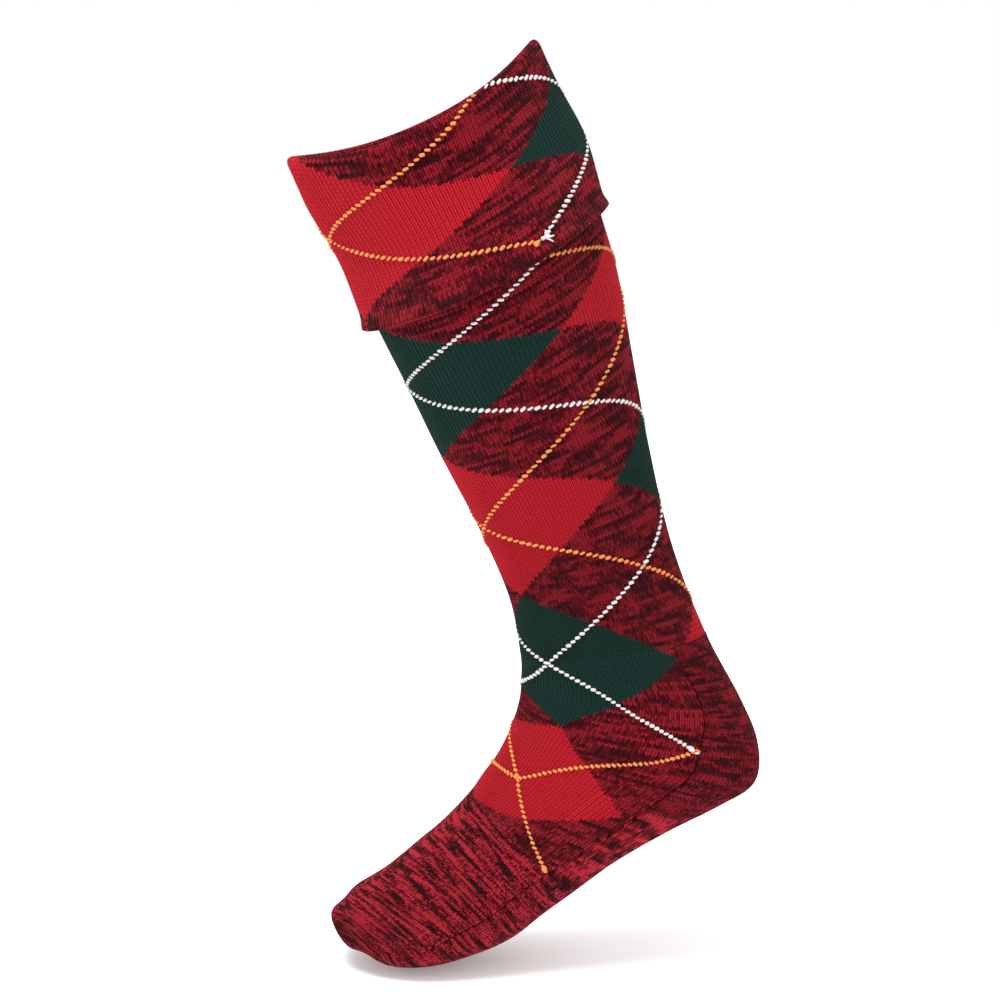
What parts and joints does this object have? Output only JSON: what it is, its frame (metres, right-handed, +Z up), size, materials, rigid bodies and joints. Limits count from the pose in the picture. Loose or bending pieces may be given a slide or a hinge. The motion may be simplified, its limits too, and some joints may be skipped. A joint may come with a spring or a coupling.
{
  "type": "kilt hose sock",
  "caption": "Knee-high knitted kilt hose sock with a turned-over cuff, argyle leg and instep, and marled heel, sole and toe, shown as worn with a raised heel.",
  "frame": {"origin": "middle of the leg mouth, where the leg goes in", "axes": "+Z up as the sock is worn with the heel raised, toe toward -X, near side of the picture toward -Y"},
  "size_m": [0.245, 0.1242, 0.4852],
  "materials": {
    "argyle_knit": "soft matt wool-blend knit, red and dark green diamonds on a red and near-black marl",
    "marl_knit": "soft matt wool-blend knit in a red and near-black marl",
    "white_yarn": "soft white yarn of the overcheck",
    "gold_yarn": "soft gold yarn of the overcheck"
  },
  "bodies": {
    "root": {"leg": "argyle_knit", "cuff": "argyle_knit", "instep": "argyle_knit", "heel": "marl_knit", "sole": "marl_knit", "toe": "marl_knit"}
  },
  "joints": []
}
